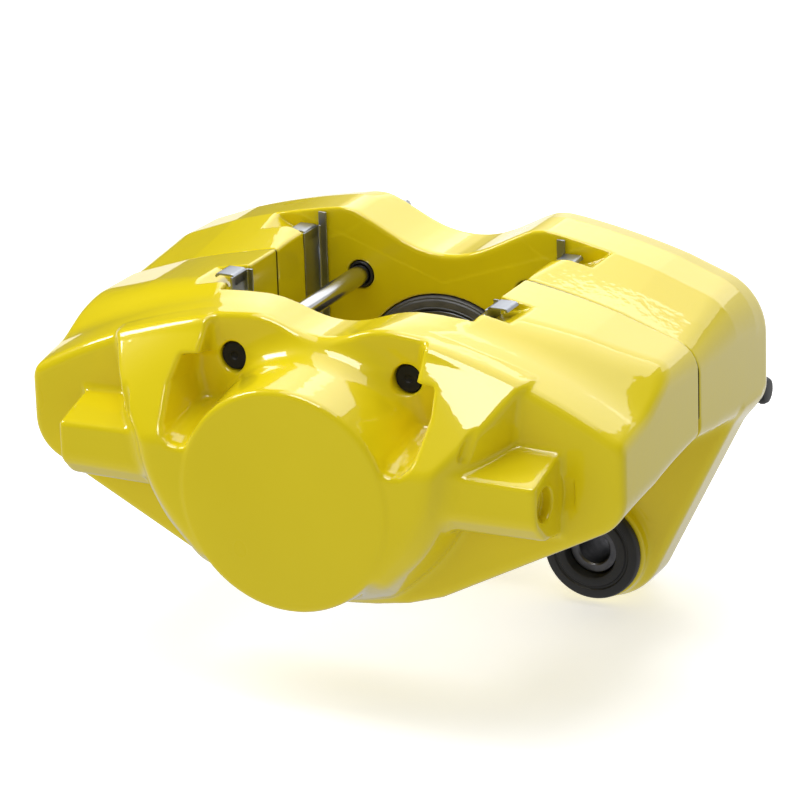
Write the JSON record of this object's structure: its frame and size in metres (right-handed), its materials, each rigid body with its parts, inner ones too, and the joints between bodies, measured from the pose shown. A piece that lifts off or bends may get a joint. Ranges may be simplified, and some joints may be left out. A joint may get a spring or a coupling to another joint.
{
  "type": "brake caliper",
  "caption": "Floating disc brake caliper: bolted two-piece body over a rotor slot and open pad bay, piston with dust boot, bushed mounting ears, pad pins and capped bleed screws.",
  "frame": {"origin": "centre of the bounding box, which is in the plane where the two body halves meet and 5.45 mm below the piston's axis", "axes": "+X along the caliper, which is the direction the rotor turns past it, +Y along the piston's axis towards the inboard side, +Z away from the wheel's centre, towards the bridge"},
  "size_m": [0.2, 0.165, 0.1225],
  "materials": {
    "powder_coat": "glossy yellow powder coat",
    "alloy": "hard anodised",
    "steel": "zinc plated",
    "stainless": "stamped stainless sheet",
    "black_steel": "black oxide",
    "rubber": "matte black"
  },
  "bodies": {
    "caliper": {"outboard_body": "powder_coat", "inboard_body": "powder_coat", "piston_seal": "rubber", "dust_boot": "rubber", "bridge_bolt_left_outer": "black_steel", "bridge_bolt_left_inner": "black_steel", "bridge_bolt_right_inner": "black_steel", "bridge_bolt_right_outer": "black_steel", "abutment_clip_left_outboard": "stainless", "abutment_clip_left_inboard": "stainless", "abutment_clip_right_outboard": "stainless", "abutment_clip_right_inboard": "stainless", "guide_bushing_left": "rubber", "guide_bushing_right": "rubber", "pin_ring_left": "rubber", "pin_ring_right": "rubber"},
    "piston": {"piston": "alloy", "boot_lip": "rubber"},
    "guide_sleeve_left": {"guide_sleeve_left": "steel"},
    "guide_sleeve_right": {"guide_sleeve_right": "steel"},
    "pad_pin_left": {"pad_pin_left": "steel"},
    "pad_pin_right": {"pad_pin_right": "steel"},
    "pin_clip_left": {"pin_clip_left": "steel"},
    "pin_clip_right": {"pin_clip_right": "steel"},
    "bleed_screw_left": {"bleed_screw_left": "steel"},
    "bleed_screw_right": {"bleed_screw_right": "steel"},
    "bleed_cap_left": {"bleed_cap_left": "rubber"},
    "bleed_cap_right": {"bleed_cap_right": "rubber"}
  },
  "joints": [
    {"name": "piston_slide", "type": "slide", "parent": "caliper", "child": "piston", "axis": [0, -1, 0], "range_m": [0, 0.015]},
    {"name": "guide_sleeve_left_slide", "type": "slide", "parent": "caliper", "child": "guide_sleeve_left", "axis": [0, 1, 0], "range_m": [-0.008, 0.008]},
    {"name": "guide_sleeve_right_slide", "type": "slide", "parent": "caliper", "child": "guide_sleeve_right", "axis": [0, 1, 0], "range_m": [-0.008, 0.008]},
    {"name": "pad_pin_left_turn", "type": "hinge", "parent": "caliper", "child": "pad_pin_left", "pos_m": [-0.0293, 0, 0.03925], "axis": [0, 1, 0], "range_deg": [-15, 15]},
    {"name": "pin_clip_left_pull", "type": "slide", "parent": "pad_pin_left", "child": "pin_clip_left", "axis": [0, 0, 1], "range_m": [0, 0.02]},
    {"name": "bleed_screw_left_turn", "type": "hinge", "parent": "caliper", "child": "bleed_screw_left", "pos_m": [-0.084, 0.069, 0.00295], "axis": [-1, 0, 0], "range_deg": [0, 360]},
    {"name": "bleed_cap_left_pull", "type": "slide", "parent": "bleed_screw_left", "child": "bleed_cap_left", "axis": [-1, 0, 0], "range_m": [0, 0.012]},
    {"name": "pad_pin_right_turn", "type": "hinge", "parent": "caliper", "child": "pad_pin_right", "pos_m": [0.0293, 0, 0.03925], "axis": [0, 1, 0], "range_deg": [-15, 15]},
    {"name": "pin_clip_right_pull", "type": "slide", "parent": "pad_pin_right", "child": "pin_clip_right", "axis": [0, 0, 1], "range_m": [0, 0.02]},
    {"name": "bleed_screw_right_turn", "type": "hinge", "parent": "caliper", "child": "bleed_screw_right", "pos_m": [0.084, 0.069, 0.00295], "axis": [1, 0, 0], "range_deg": [0, 360]},
    {"name": "bleed_cap_right_pull", "type": "slide", "parent": "bleed_screw_right", "child": "bleed_cap_right", "axis": [1, 0, 0], "range_m": [0, 0.012]}
  ],
  "couplings": [
    {"joint": "guide_sleeve_right_slide", "follows": "guide_sleeve_left_slide", "ratio": 1}
  ]
}
